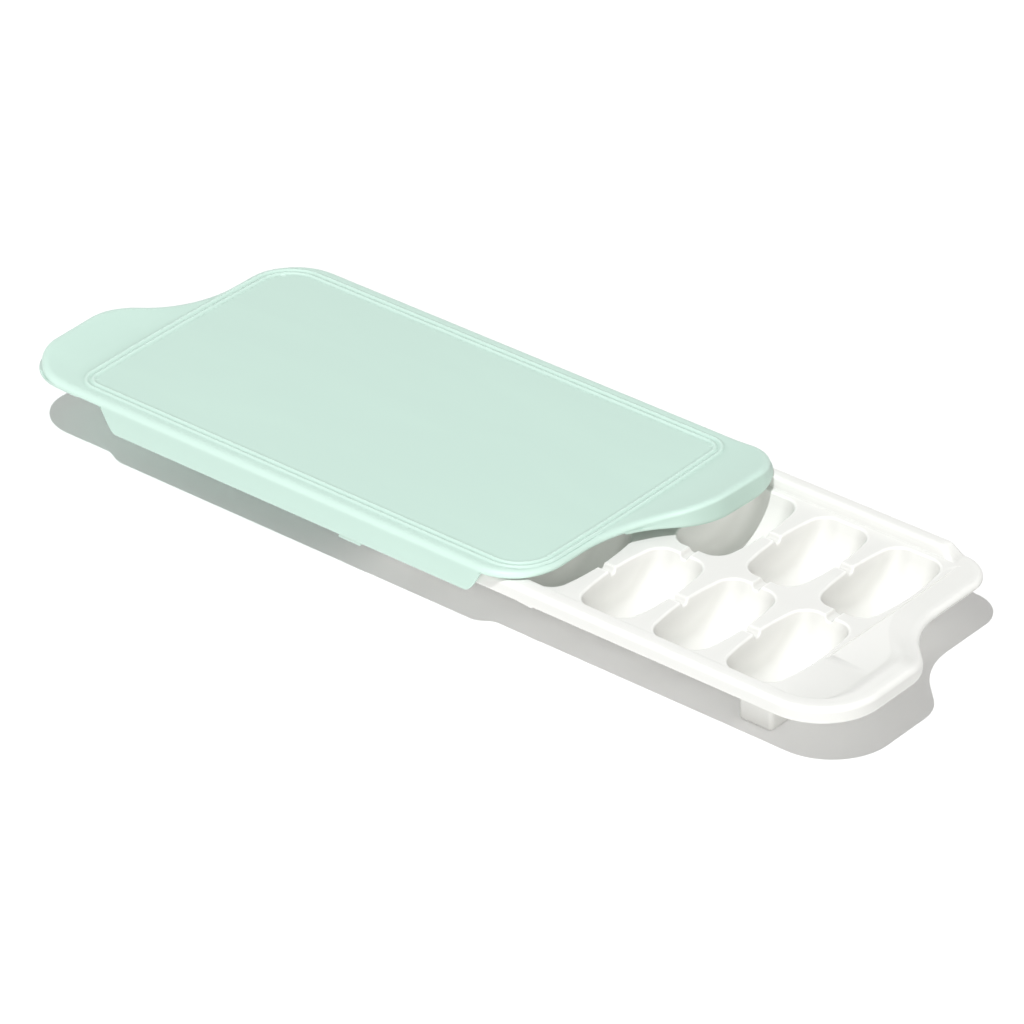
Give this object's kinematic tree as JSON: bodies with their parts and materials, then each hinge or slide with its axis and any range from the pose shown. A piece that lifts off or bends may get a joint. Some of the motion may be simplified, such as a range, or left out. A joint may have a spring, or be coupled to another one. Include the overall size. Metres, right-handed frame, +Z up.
{
  "type": "baby food freezer tray",
  "caption": "Freezer tray with two rows of half-moon cups and a sliding cover with an ear at each end, drawn half open.",
  "frame": {"origin": "on the floor below the middle of the tray and the half-drawn cover together", "axes": "+Z up, +X along the slide from the drawn cover towards the open end of the tray"},
  "size_m": [0.4088, 0.139, 0.0347],
  "materials": {
    "tray_white": "smooth white polypropylene, slightly glossy",
    "cover_mint": "mint green polypropylene, fine satin texture"
  },
  "bodies": {
    "tray": {"cup_front_1": "tray_white", "cup_front_2": "tray_white", "cup_front_3": "tray_white", "cup_front_4": "tray_white", "cup_front_5": "tray_white", "cup_front_6": "tray_white", "cup_back_1": "tray_white", "cup_back_2": "tray_white", "cup_back_3": "tray_white", "cup_back_4": "tray_white", "cup_back_5": "tray_white", "cup_back_6": "tray_white", "rim_front": "tray_white", "rim_back": "tray_white", "end_left": "tray_white", "end_right": "tray_white", "foot_front_left": "tray_white", "foot_front_right": "tray_white", "foot_back_left": "tray_white", "foot_back_right": "tray_white"},
    "cover": {"sliding_cover": "cover_mint"}
  },
  "joints": [
    {"name": "cover_slide", "type": "slide", "parent": "tray", "child": "cover", "axis": [1, 0, 0], "range_m": [-0.026, 0.282]}
  ]
}
